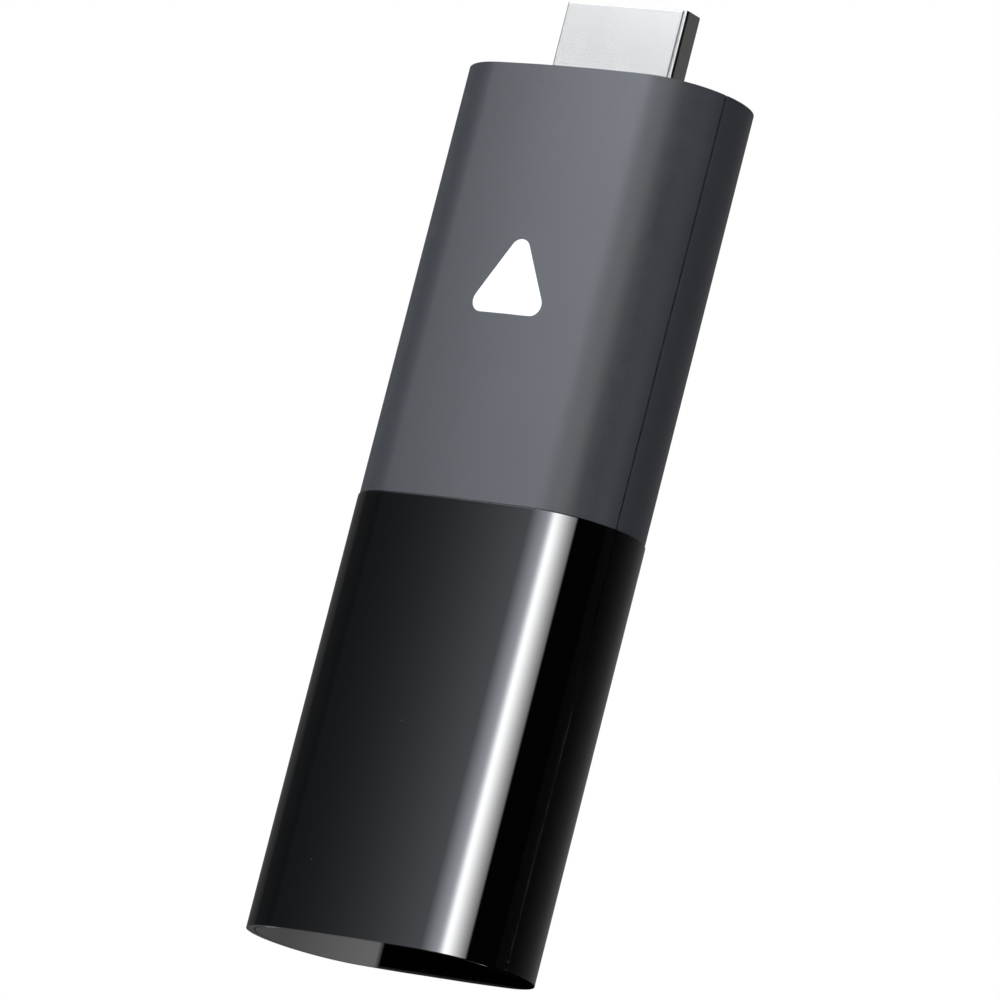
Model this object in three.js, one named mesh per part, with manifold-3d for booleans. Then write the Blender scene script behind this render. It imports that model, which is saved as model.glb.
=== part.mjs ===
// Streaming media player: a stick of oval section with a 19-way video plug on its nose.
// It lies on its back: X is the width, +Y the plug end, +Z the front face. Millimetres.
// The body is two matte covers and two gloss covers, parted along the sides, with a gloss
// end plate let into the tail. A single board carries the chips, the plug and the inlet.

import * as THREE from 'three';
import { mergeVertices } from 'three/addons/utils/BufferGeometryUtils.js';
import Module from 'manifold-3d';

const wasm = await Module();
wasm.setup();

// Overall sizes of the body
const BODY_WIDTH = 30.2;
const BODY_LENGTH = 84.1;
const PLUG_REACH = 8.3; // plug shell beyond the nose
const SIDE_RADIUS = 7.27; // side arcs of the oval
const FACE_RADIUS = 90; // slightly crowned front and back
const FOOT_HALF_WIDTH = 4; // flat strip down the middle of the back, which the player lies on
const GLOSS_LENGTH = 41.95; // tail part of the body

// Places that follow from them
const LENGTH = BODY_LENGTH + PLUG_REACH;
const TAIL_Y = -LENGTH / 2;
const NOSE_Y = TAIL_Y + BODY_LENGTH;
const TIP_Y = LENGTH / 2;
const JOIN_Y = TAIL_Y + GLOSS_LENGTH;
const SIDE_CENTRE_X = BODY_WIDTH / 2 - SIDE_RADIUS;
const FACE_CENTRE = Math.sqrt((FACE_RADIUS - SIDE_RADIUS) ** 2 - SIDE_CENTRE_X ** 2); // from the middle
const OVAL_HALF_HEIGHT = FACE_RADIUS - FACE_CENTRE;
const FOOT_RISE = FACE_RADIUS - Math.sqrt(FACE_RADIUS ** 2 - FOOT_HALF_WIDTH ** 2);
const MIDDLE_Z = OVAL_HALF_HEIGHT - FOOT_RISE;
const BODY_THICKNESS = MIDDLE_Z + OVAL_HALF_HEIGHT;
const PARTING_Z = MIDDLE_Z + 2.19;

// Covers
const WALL = 1.5;
const JOINT_GAP = 0.3;
const HALF_GAP = JOINT_GAP / 2;
const MATTE_INSET = 0.1; // the gloss covers stand this much proud of the matte ones
const LIP_THICKNESS = 0.7;
const LIP_REACH = 1.1; // rear cover lips past the parting plane
const LIP_SETBACK = 1; // at each end of the part that reaches past it
const TONGUE_REACH = 3; // gloss cover tongues inside the matte covers
const TONGUE_START_X = 9.6;
const NOSE_WALL = 1.5;
const END_RIM = 0.6; // cover rim left around the end plate
const END_PLATE_THICKNESS = 1.2;
const END_STOP = 1; // thickness of the ledge behind the end plate
const LEDGE_DEPTH = 1.3;
const POST_X = 10.3;
const POST_WIDTH = 1.4;
const POST_LENGTH = 3;

// Video plug, measured from its own middle
const PLUG_Z = MIDDLE_Z - 1.435;
const PLUG_HALF_WIDTH = 6.95;
const PLUG_HALF_HEIGHT = 2.225;
const PLUG_STRAIGHT = 2.2; // side height below the wide face
const PLUG_SLANT = 1;
const PLUG_NARROW_HALF_WIDTH = 5.4;
const PLUG_CORNER = 0.55;
const PLUG_SHEET = 0.35;
const PLUG_REAR_Y = 29;
const INSULATOR_REAR_Y = 27.6;
const INSULATOR_RECESS = 0.7;
const INSULATOR_CLEARANCE = 0.2;
const SLOT_WIDTH = 9.7;
const SLOT_HEIGHT = 1.6;
const CONTACT_PITCH = 1;
const CONTACT_WIDTH = 0.45;
const CONTACT_THICKNESS = 0.15;
const CONTACT_REAR_Y = 23.6;
const CONTACT_TIP_RECESS = 1.4;
const UPPER_CONTACTS = 10;
const LOWER_CONTACTS = 9;

// Board
const BOARD_HALF_WIDTH = 12;
const BOARD_THICKNESS = 1;
const BOARD_FRONT_Y = 27.2;
const BOARD_REAR_Y = -43;
const BOARD_TOP = PLUG_Z + BOARD_THICKNESS / 2;
const BOARD_BOTTOM = PLUG_Z - BOARD_THICKNESS / 2;
const SOLDER = 0.1; // height of the solder under each part

// Power inlet in the left side
const INLET_Y = -28;
const INLET_HALF_WIDTH = 3.9;
const INLET_HALF_HEIGHT = 1.4;
const INLET_FACE_X = -14.4;
const INLET_DEPTH = 5.2;
const INLET_SHEET = 0.3;
const INLET_CLEARANCE = 0.35;
const INLET_CONTACTS = 5;

const finish = (colour, roughness, metalness) => new THREE.MeshStandardMaterial({ color: colour, roughness, metalness });

const MATTE_SHELL = finish(0x2c2d30, 0.55, 0);
const GLOSS_SHELL = finish(0x08090a, 0.08, 0);
const PLUG_STEEL = finish(0xc9cbcd, 0.28, 1);
const CONTACT_GOLD = finish(0xd8b35a, 0.3, 1);
const BLACK_RESIN = finish(0x141416, 0.6, 0);
const BOARD_LAMINATE = finish(0x174a2c, 0.5, 0);
const CHIP_EPOXY = finish(0x1b1b1d, 0.7, 0);
const SHIELD_STEEL = finish(0xb4b6b8, 0.35, 1);
const SPREADER_ALUMINIUM = finish(0xc2c5c8, 0.45, 1);
const THERMAL_PAD = finish(0x8b94a6, 0.85, 0);
const PALE_CERAMIC = finish(0xa8916a, 0.6, 0);
const DARK_FERRITE = finish(0x3a3a3c, 0.65, 0);

const player = new THREE.Group();

// ---------------------------------------------------------------- shape helpers

/** A closed three.js geometry as a solid that can be joined and cut. */
function solidOf(geometry) {
  const bare = geometry.clone();
  bare.deleteAttribute('normal');
  bare.deleteAttribute('uv');
  const merged = mergeVertices(bare, 1e-5);
  const vertProperties = new Float32Array(merged.attributes.position.array);
  const triVerts = new Uint32Array(merged.index.array);
  return new wasm.Manifold(new wasm.Mesh({ numProp: 3, vertProperties, triVerts }));
}

/** The geometry of a solid. */
function geometryOf(solid) {
  const { vertProperties, triVerts } = solid.getMesh();
  const geometry = new THREE.BufferGeometry();
  geometry.setAttribute('position', new THREE.BufferAttribute(vertProperties, 3));
  geometry.setIndex(new THREE.BufferAttribute(triVerts, 1));
  geometry.computeVertexNormals();
  return geometry;
}

/** Adds one named piece to the player. */
function addPiece(name, geometry, material) {
  const mesh = new THREE.Mesh(geometry, material);
  mesh.name = name;
  player.add(mesh);
  return mesh;
}

/** A shape drawn in X and Z, extruded along Y between two places. */
function extrudeAlongY(shape, yFrom, yTo, curveSegments = 6) {
  const geometry = new THREE.ExtrudeGeometry(shape, { depth: yTo - yFrom, bevelEnabled: false, curveSegments });
  geometry.rotateX(Math.PI / 2);
  geometry.translate(0, yTo, 0);
  return geometry;
}

/** A shape drawn in Y and Z, extruded along X between two places. */
function extrudeAlongX(shape, xFrom, xTo, curveSegments = 4) {
  const geometry = new THREE.ExtrudeGeometry(shape, { depth: xTo - xFrom, bevelEnabled: false, curveSegments });
  geometry.rotateX(Math.PI / 2);
  geometry.rotateZ(Math.PI / 2);
  geometry.translate(xFrom, 0, 0);
  return geometry;
}

/** A block between two corners. */
function block(low, high) {
  const geometry = new THREE.BoxGeometry(high[0] - low[0], high[1] - low[1], high[2] - low[2]);
  geometry.translate((low[0] + high[0]) / 2, (low[1] + high[1]) / 2, (low[2] + high[2]) / 2);
  return geometry;
}

/** A block by its middle in plan, its size in plan, and its lowest and highest Z. */
function slab(x, y, width, length, zLow, zHigh) {
  return block([x - width / 2, y - length / 2, zLow], [x + width / 2, y + length / 2, zHigh]);
}

/** The oval section, moved inwards by an even inset. */
function ovalShape(inset) {
  const sideRadius = SIDE_RADIUS - inset;
  const faceRadius = FACE_RADIUS - inset;
  const meet = Math.atan2(FACE_CENTRE, SIDE_CENTRE_X);
  const footAngle = Math.asin(FOOT_HALF_WIDTH / FACE_RADIUS);
  const shape = new THREE.Shape();
  const arc = (x, z, radius, from, to, steps) => {
    for (let step = 0; step <= steps; step += 1) {
      const angle = from + ((to - from) * step) / steps;
      const point = [x + radius * Math.cos(angle), z + radius * Math.sin(angle)];
      if (shape.curves.length === 0 && shape.currentPoint.length() === 0) {
        shape.moveTo(...point);
      } else if (Math.hypot(point[0] - shape.currentPoint.x, point[1] - shape.currentPoint.y) > 1e-3) {
        shape.lineTo(...point);
      }
    }
  };
  arc(SIDE_CENTRE_X, MIDDLE_Z, sideRadius, -meet, meet, 22);
  arc(0, MIDDLE_Z - FACE_CENTRE, faceRadius, meet, Math.PI - meet, 8);
  arc(-SIDE_CENTRE_X, MIDDLE_Z, sideRadius, Math.PI - meet, Math.PI + meet, 22);
  arc(0, MIDDLE_Z + FACE_CENTRE, faceRadius, Math.PI + meet, 1.5 * Math.PI - footAngle, 2);
  arc(0, MIDDLE_Z + FACE_CENTRE, faceRadius, 1.5 * Math.PI + footAngle, 2 * Math.PI - meet, 2);
  shape.closePath();
  return shape;
}

/** A solid length of the oval. */
function ovalSolid(inset, yFrom, yTo) {
  return solidOf(extrudeAlongY(ovalShape(inset), yFrom, yTo));
}

/** A tube of the oval between two insets. */
function ovalTube(outerInset, innerInset, yFrom, yTo) {
  return ovalSolid(outerInset, yFrom, yTo).subtract(ovalSolid(innerInset, yFrom - 1, yTo + 1));
}

/** Everything in front of, or behind, a height. */
function above(z) {
  return solidOf(block([-BODY_WIDTH, -LENGTH, z], [BODY_WIDTH, LENGTH, 2 * BODY_THICKNESS]));
}

function below(z) {
  return solidOf(block([-BODY_WIDTH, -LENGTH, -BODY_THICKNESS], [BODY_WIDTH, LENGTH, z]));
}

/** The plug's outline, wide face up, moved inwards by an inset. */
function plugShape(inset) {
  const wide = PLUG_HALF_WIDTH - inset;
  const narrow = PLUG_NARROW_HALF_WIDTH - inset;
  const top = PLUG_Z + PLUG_HALF_HEIGHT - inset;
  const bottom = PLUG_Z - PLUG_HALF_HEIGHT + inset;
  const slantTop = PLUG_Z + PLUG_HALF_HEIGHT - PLUG_STRAIGHT;
  const slantBottom = slantTop - PLUG_SLANT;
  const corner = Math.max(PLUG_CORNER - inset, 0.1);
  const shape = new THREE.Shape();
  shape.moveTo(-wide, slantTop);
  shape.lineTo(-narrow, slantBottom);
  shape.lineTo(-narrow, bottom + corner);
  shape.quadraticCurveTo(-narrow, bottom, -narrow + corner, bottom);
  shape.lineTo(narrow - corner, bottom);
  shape.quadraticCurveTo(narrow, bottom, narrow, bottom + corner);
  shape.lineTo(narrow, slantBottom);
  shape.lineTo(wide, slantTop);
  shape.lineTo(wide, top - corner);
  shape.quadraticCurveTo(wide, top, wide - corner, top);
  shape.lineTo(-wide + corner, top);
  shape.quadraticCurveTo(-wide, top, -wide, top - corner);
  shape.closePath();
  return shape;
}

/** The inlet's outline in Y and Z: a wide top and cut lower corners. */
function inletShape(inset) {
  const half = INLET_HALF_WIDTH - inset;
  const top = PLUG_Z + INLET_HALF_HEIGHT - inset;
  const bottom = PLUG_Z - INLET_HALF_HEIGHT + inset;
  const cut = 1.1;
  const shape = new THREE.Shape();
  shape.moveTo(INLET_Y - half, top);
  shape.lineTo(INLET_Y - half, bottom + cut);
  shape.lineTo(INLET_Y - half + cut, bottom);
  shape.lineTo(INLET_Y + half - cut, bottom);
  shape.lineTo(INLET_Y + half, bottom + cut);
  shape.lineTo(INLET_Y + half, top);
  shape.closePath();
  return shape;
}

// ---------------------------------------------------------------- covers

/** Support posts between a cover and the board, on both sides of the stick. */
function posts(y, zLow, zHigh) {
  const left = solidOf(slab(-POST_X, y, POST_WIDTH, POST_LENGTH, zLow, zHigh));
  const right = solidOf(slab(POST_X, y, POST_WIDTH, POST_LENGTH, zLow, zHigh));
  return left.add(right);
}

/** The lips inside a pair of covers that run past the parting plane along both sides. */
function sideLips(yFrom, yTo) {
  const root = ovalTube(WALL - 0.2, WALL + JOINT_GAP + LIP_THICKNESS, yFrom, yTo)
    .intersect(above(PARTING_Z - 1.6))
    .intersect(below(PARTING_Z - HALF_GAP));
  const reach = ovalTube(WALL + JOINT_GAP, WALL + JOINT_GAP + LIP_THICKNESS, yFrom + LIP_SETBACK, yTo - LIP_SETBACK)
    .intersect(above(PARTING_Z - 1))
    .intersect(below(PARTING_Z + LIP_REACH));
  return root.add(reach);
}

function addMatteCovers() {
  const yFrom = JOIN_Y + HALF_GAP;
  const outer = ovalSolid(MATTE_INSET, yFrom, NOSE_Y);
  const shell = outer.subtract(ovalSolid(WALL, yFrom - 1, NOSE_Y - NOSE_WALL));
  const plugHole = solidOf(extrudeAlongY(plugShape(-JOINT_GAP), NOSE_Y - 2 * NOSE_WALL, NOSE_Y + 1));
  const frontPosts = posts(18, BOARD_TOP + SOLDER, BODY_THICKNESS - 1.6);
  const front = shell.intersect(above(PARTING_Z + HALF_GAP)).add(frontPosts);
  addPiece('front_cover_matte', geometryOf(front), MATTE_SHELL);
  const rearPosts = posts(18, 1.6, BOARD_BOTTOM - SOLDER);
  const lips = sideLips(JOIN_Y + TONGUE_REACH + 1, NOSE_Y - NOSE_WALL - 2);
  const rear = shell.intersect(below(PARTING_Z - HALF_GAP)).subtract(plugHole).add(lips).add(rearPosts);
  addPiece('rear_cover_matte', geometryOf(rear), MATTE_SHELL);
}

/** Two curved tongues that slide into the sides of the matte covers, rooted under the gloss wall. */
function tongues() {
  const root = ovalTube(WALL - 0.2, WALL + JOINT_GAP + LIP_THICKNESS, JOIN_Y - 3, JOIN_Y - HALF_GAP);
  const reach = ovalTube(WALL + JOINT_GAP, WALL + JOINT_GAP + LIP_THICKNESS, JOIN_Y - 1, JOIN_Y + TONGUE_REACH);
  const middle = solidOf(slab(0, JOIN_Y, 2 * TONGUE_START_X, BODY_LENGTH, -1, BODY_THICKNESS + 1));
  return root.add(reach).subtract(middle);
}

function addGlossCovers() {
  const yTo = JOIN_Y - HALF_GAP;
  const seat = TAIL_Y + END_PLATE_THICKNESS + JOINT_GAP;
  const outer = ovalSolid(0, TAIL_Y, yTo);
  const shell = outer
    .subtract(ovalSolid(END_RIM, TAIL_Y - 1, seat))
    .subtract(ovalSolid(WALL + LEDGE_DEPTH, TAIL_Y - 1, seat + END_STOP))
    .subtract(ovalSolid(WALL, seat + END_STOP, yTo + 1))
    .add(tongues());
  const frontPosts = posts(-36, BOARD_TOP + SOLDER, BODY_THICKNESS - 1.6);
  const front = shell.intersect(above(PARTING_Z + HALF_GAP)).add(frontPosts);
  addPiece('front_cover_gloss', geometryOf(front), GLOSS_SHELL);
  const inletHole = solidOf(extrudeAlongX(inletShape(-INLET_CLEARANCE), -BODY_WIDTH, INLET_FACE_X + 3));
  const rearPosts = posts(-36, 1.6, BOARD_BOTTOM - SOLDER);
  const lips = sideLips(seat + END_STOP / 2, JOIN_Y - 4);
  const rear = shell.intersect(below(PARTING_Z - HALF_GAP)).add(lips).add(rearPosts).subtract(inletHole);
  addPiece('rear_cover_gloss', geometryOf(rear), GLOSS_SHELL);
}

function addEndPlate() {
  const inset = END_RIM + JOINT_GAP;
  const plate = extrudeAlongY(ovalShape(inset), TAIL_Y, TAIL_Y + END_PLATE_THICKNESS);
  addPiece('end_plate', plate, GLOSS_SHELL);
}

// ---------------------------------------------------------------- video plug

function addPlug() {
  const tube = solidOf(extrudeAlongY(plugShape(0), PLUG_REAR_Y, TIP_Y))
    .subtract(solidOf(extrudeAlongY(plugShape(PLUG_SHEET), PLUG_REAR_Y - 1, TIP_Y + 1)));
  const legLow = BOARD_TOP + SOLDER;
  const leg = (side) => {
    const inner = side * (PLUG_HALF_WIDTH - PLUG_SHEET);
    const outer = side * PLUG_HALF_WIDTH;
    const low = [Math.min(inner, outer), PLUG_REAR_Y - 4, legLow];
    return solidOf(block(low, [Math.max(inner, outer), PLUG_REAR_Y + 0.5, legLow + 1]));
  };
  addPiece('plug_shell', geometryOf(tube.add(leg(1)).add(leg(-1))), PLUG_STEEL);

  const slot = block(
    [-SLOT_WIDTH / 2, INSULATOR_REAR_Y - 1, PLUG_Z - SLOT_HEIGHT / 2],
    [SLOT_WIDTH / 2, TIP_Y, PLUG_Z + SLOT_HEIGHT / 2],
  );
  const resin = extrudeAlongY(plugShape(PLUG_SHEET + INSULATOR_CLEARANCE), INSULATOR_REAR_Y, TIP_Y - INSULATOR_RECESS);
  addPiece('plug_insulator', geometryOf(solidOf(resin).subtract(solidOf(slot))), BLACK_RESIN);
}

/** One spring contact: a flat strip from the board to the mouth, bowed towards the middle. */
function contactGeometry(x, side) {
  const wallZ = SLOT_HEIGHT / 2 - SOLDER;
  const tipY = TIP_Y - CONTACT_TIP_RECESS;
  const bow = 0.2;
  const outline = [
    [CONTACT_REAR_Y, wallZ],
    [tipY - 3.2, wallZ],
    [tipY - 1.6, wallZ - bow],
    [tipY, wallZ],
    [tipY, wallZ - CONTACT_THICKNESS],
    [tipY - 1.6, wallZ - bow - CONTACT_THICKNESS],
    [tipY - 3.2, wallZ - CONTACT_THICKNESS],
    [CONTACT_REAR_Y, wallZ - CONTACT_THICKNESS],
  ];
  const shape = new THREE.Shape(outline.map(([y, z]) => new THREE.Vector2(y, PLUG_Z + side * z)));
  return extrudeAlongX(shape, x - CONTACT_WIDTH / 2, x + CONTACT_WIDTH / 2);
}

function addPlugContacts() {
  let number = 1;
  for (const [count, side] of [[UPPER_CONTACTS, 1], [LOWER_CONTACTS, -1]]) {
    for (let index = 0; index < count; index += 1) {
      const x = (index - (count - 1) / 2) * CONTACT_PITCH;
      const name = `plug_contact_${String(number).padStart(2, '0')}`;
      addPiece(name, contactGeometry(x, side), CONTACT_GOLD);
      number += 1;
    }
  }
}

// ---------------------------------------------------------------- power inlet

function addInlet() {
  const xTo = INLET_FACE_X + INLET_DEPTH;
  const shell = solidOf(extrudeAlongX(inletShape(0), INLET_FACE_X, xTo))
    .subtract(solidOf(extrudeAlongX(inletShape(INLET_SHEET), INLET_FACE_X - 1, xTo + 1)));
  addPiece('inlet_shell', geometryOf(shell), PLUG_STEEL);

  const plugBack = extrudeAlongX(inletShape(INLET_SHEET + 0.15), xTo - 1.4, xTo - 0.1);
  const tongueLow = PLUG_Z + 0.05;
  const tongueHigh = tongueLow + 0.55;
  const tongue = block(
    [INLET_FACE_X + 0.9, INLET_Y - 1.9, tongueLow],
    [xTo - 1, INLET_Y + 1.9, tongueHigh],
  );
  addPiece('inlet_tongue', geometryOf(solidOf(plugBack).add(solidOf(tongue))), BLACK_RESIN);

  for (let index = 0; index < INLET_CONTACTS; index += 1) {
    const y = INLET_Y + (index - (INLET_CONTACTS - 1) / 2) * 0.65;
    const strip = block([INLET_FACE_X + 1.1, y - 0.15, tongueLow - 0.18], [xTo - 1.5, y + 0.15, tongueLow - 0.06]);
    addPiece(`inlet_contact_${index + 1}`, strip, CONTACT_GOLD);
  }
}

// ---------------------------------------------------------------- board and what it carries

function addBoard() {
  const board = solidOf(block(
    [-BOARD_HALF_WIDTH, BOARD_REAR_Y, BOARD_BOTTOM],
    [BOARD_HALF_WIDTH, BOARD_FRONT_Y, BOARD_TOP],
  ));
  const notchHalf = INLET_HALF_WIDTH + 0.3;
  const notchX = INLET_FACE_X + INLET_DEPTH + 0.3;
  const notch = solidOf(block([-BODY_WIDTH, INLET_Y - notchHalf, 0], [notchX, INLET_Y + notchHalf, BODY_THICKNESS]));
  addPiece('main_board', geometryOf(board.subtract(notch)), BOARD_LAMINATE);
}

/** An open-bottomed can over a stretch of the board; side is +1 on the front, -1 on the back. */
function shieldCan(y, width, length, height, side) {
  const sheet = 0.3;
  const foot = side > 0 ? BOARD_TOP + SOLDER : BOARD_BOTTOM - SOLDER;
  const roof = foot + side * height;
  const outer = slab(0, y, width, length, Math.min(foot, roof), Math.max(foot, roof));
  const innerFoot = foot - side;
  const innerRoof = roof - side * sheet;
  const hollow = slab(
    0, y, width - 2 * sheet, length - 2 * sheet,
    Math.min(innerFoot, innerRoof), Math.max(innerFoot, innerRoof),
  );
  return geometryOf(solidOf(outer).subtract(solidOf(hollow)));
}

/** A part soldered to the front (+1) or back (-1) of the board. */
function mountedBlock(x, y, width, length, height, side) {
  const foot = side > 0 ? BOARD_TOP + SOLDER : BOARD_BOTTOM - SOLDER;
  const far = foot + side * height;
  return slab(x, y, width, length, Math.min(foot, far), Math.max(foot, far));
}

function addChips() {
  const chips = [
    ['processor', 0, 0, 13, 13, 1.1, 1],
    ['memory_chip', 0, 14, 9, 11, 1, 1],
    ['flash_chip', 0, 8, 11.5, 13, 1, -1],
    ['power_chip', 4, -18, 5, 5, 0.9, 1],
    ['wireless_chip', 0, -14, 7, 7, 0.9, -1],
  ];
  for (const [name, ...place] of chips) {
    addPiece(name, mountedBlock(...place), CHIP_EPOXY);
  }
  addPiece('crystal', mountedBlock(-4.5, -16.5, 3.2, 2.5, 0.8, 1), SHIELD_STEEL);
}

function addInductorsAndCapacitors() {
  [-1, 1].forEach((side, index) => {
    addPiece(`inductor_${index + 1}`, mountedBlock(1 + side * 3.2, -26, 4, 4, 2, 1), DARK_FERRITE);
  });
  [9.6, 12.8, 16].forEach((offset, index) => {
    addPiece(`capacitor_${index + 1}`, mountedBlock(-1.6, -21 - offset, 2.5, 1.6, 1.5, 1), PALE_CERAMIC);
  });
}

function addShieldsAndSpreaders() {
  const frontCan = { y: 6.5, width: 18, length: 30, height: 2.4 };
  const rearCan = { y: 2, width: 17, length: 40, height: 1.9 };
  addPiece('front_shield', shieldCan(frontCan.y, frontCan.width, frontCan.length, frontCan.height, 1), SHIELD_STEEL);
  addPiece('rear_shield', shieldCan(rearCan.y, rearCan.width, rearCan.length, rearCan.height, -1), SHIELD_STEEL);

  const processorTop = BOARD_TOP + SOLDER + 1.1;
  const canUnderside = BOARD_TOP + SOLDER + frontCan.height - 0.3;
  addPiece('processor_pad', slab(0, 0, 11, 11, processorTop + 0.1, canUnderside - 0.1), THERMAL_PAD);

  const canTop = BOARD_TOP + SOLDER + frontCan.height;
  const frontPlateLow = 12.2;
  addPiece('front_pad', slab(0, 3, 15, 18, canTop + 0.1, frontPlateLow - 0.1), THERMAL_PAD);
  addPiece('front_spreader', slab(0, -3, 18, 56, frontPlateLow, frontPlateLow + 0.8), SPREADER_ALUMINIUM);

  const canBottom = BOARD_BOTTOM - SOLDER - rearCan.height;
  const rearPlateHigh = 3;
  addPiece('rear_pad', slab(0, 2, 14, 24, rearPlateHigh + 0.1, canBottom - 0.1), THERMAL_PAD);
  addPiece('rear_spreader', slab(0, -3, 18, 56, rearPlateHigh - 0.8, rearPlateHigh), SPREADER_ALUMINIUM);
}

/** A folded strip aerial standing on the board beside the tail; side is -1 left, +1 right. */
function addAerials() {
  for (const [name, side] of [['aerial_left', -1], ['aerial_right', 1]]) {
    const foot = BOARD_TOP + SOLDER;
    const x = side * 7.5;
    const stand = solidOf(slab(x + side * 2.85, -41, 0.3, 3, foot, foot + 3.2));
    const roof = solidOf(slab(x, -41, 6, 3, foot + 2.9, foot + 3.2));
    addPiece(name, geometryOf(stand.add(roof)), SHIELD_STEEL);
  }
}

addMatteCovers();
addGlossCovers();
addEndPlate();
addPlug();
addPlugContacts();
addInlet();
addBoard();
addChips();
addInductorsAndCapacitors();
addShieldsAndSpreaders();
addAerials();

export default player;
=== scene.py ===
"""Streaming media player: the looks of the stick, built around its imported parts.

The stick lies on its back. X is its width, +Y the plug end and +Z the front face. Sizes here
are millimetres until a piece is finished, when it is scaled to metres.
"""

import logging
import math
from collections.abc import Callable
from dataclasses import dataclass, field
from enum import Enum
from itertools import pairwise

import bmesh
import bpy
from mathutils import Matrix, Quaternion, Vector


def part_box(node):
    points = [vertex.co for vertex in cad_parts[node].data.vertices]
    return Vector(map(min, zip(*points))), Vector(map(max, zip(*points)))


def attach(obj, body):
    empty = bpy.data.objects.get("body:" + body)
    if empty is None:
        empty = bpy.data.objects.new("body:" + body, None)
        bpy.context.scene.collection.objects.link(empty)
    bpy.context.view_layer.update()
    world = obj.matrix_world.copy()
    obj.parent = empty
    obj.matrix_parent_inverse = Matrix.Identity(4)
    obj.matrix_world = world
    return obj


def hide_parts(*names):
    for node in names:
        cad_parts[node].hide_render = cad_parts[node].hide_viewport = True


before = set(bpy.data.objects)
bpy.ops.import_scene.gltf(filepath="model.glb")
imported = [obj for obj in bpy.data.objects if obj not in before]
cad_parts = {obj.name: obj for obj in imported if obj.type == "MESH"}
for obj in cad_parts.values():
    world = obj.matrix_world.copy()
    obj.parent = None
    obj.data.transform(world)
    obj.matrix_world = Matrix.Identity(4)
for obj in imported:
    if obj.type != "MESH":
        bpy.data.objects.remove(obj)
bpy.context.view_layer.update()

MM = 0.001
BODY = "root"

# An edge is rounded if its faces turn by more than the first angle. An edge still sharper
# than the second keeps its crease in the shading.
ROUNDED_FROM = math.radians(28)
CREASED_FROM = math.radians(60)
FLAT_FACE_WEIGHT = 80

log = logging.getLogger("media_player")

Point = tuple[float, float]
Colour = tuple[float, float, float]
Ring = list[bmesh.types.BMVert]
EdgeRule = Callable[[Vector], float]


def box_mm(node: str) -> tuple[Vector, Vector]:
    """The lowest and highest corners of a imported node, in millimetres.

    Args:
        node: Name of the node.

    Returns:
        The two corners.
    """
    low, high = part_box(node)
    return low / MM, high / MM


# ------------------------------------------------------------------ drawing sections


def arc(centre: Point, radius: float, start: float, stop: float, steps: int) -> list[Point]:
    """Points along an arc, both ends included.

    Args:
        centre: Middle of the arc.
        radius: Its radius.
        start: First angle in radians.
        stop: Last angle in radians.
        steps: How many stretches it has.

    Returns:
        The points in order.
    """
    angles = [start + (stop - start) * step / steps for step in range(steps + 1)]
    return [(centre[0] + radius * math.cos(a), centre[1] + radius * math.sin(a)) for a in angles]


def rectangle(left: float, right: float, bottom: float, top: float) -> list[Point]:
    """The corners of a rectangle, clockwise from its upper left one."""
    return [(left, top), (right, top), (right, bottom), (left, bottom)]


def rounded(corners: list[Point], radii: list[float], steps: int = 6) -> list[Point]:
    """A closed outline with each corner rounded by an arc.

    Args:
        corners: The sharp corners in order.
        radii: The radius of each corner.
        steps: Stretches in each rounded corner.

    Returns:
        The outline's points, in the order of the corners.
    """
    outline: list[Point] = []
    count = len(corners)
    for index, corner in enumerate(corners):
        here = Vector(corner)
        before = (Vector(corners[index - 1]) - here).normalized()
        after = (Vector(corners[(index + 1) % count]) - here).normalized()
        half = before.angle(after) / 2
        radius = radii[index]
        centre = here + (before + after).normalized() * radius / math.sin(half)
        first = here + before * radius / math.tan(half) - centre
        last = here + after * radius / math.tan(half) - centre
        start = math.atan2(first.y, first.x)
        turn = math.atan2(first.x * last.y - first.y * last.x, first.dot(last))
        outline += arc(tuple(centre), radius, start, start + turn, steps)
    return outline


def shrunk(corners: list[Point], inset: float) -> list[Point]:
    """A clockwise closed outline with every side moved inwards by the same distance.

    Args:
        corners: The sharp corners in clockwise order.
        inset: How far the sides move in; negative moves them out.

    Returns:
        The new corners.
    """
    moved: list[Point] = []
    count = len(corners)
    for index, corner in enumerate(corners):
        here = Vector(corner)
        before = (here - Vector(corners[index - 1])).normalized()
        after = (Vector(corners[(index + 1) % count]) - here).normalized()
        inward_before = Vector((before.y, -before.x))
        inward_after = Vector((after.y, -after.x))
        bisector = (inward_before + inward_after).normalized()
        moved.append(tuple(here + bisector * inset / bisector.dot(inward_before)))
    return moved


class Half(Enum):
    """Which of the two covers of a pair."""

    FRONT = "front"
    REAR = "rear"


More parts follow.
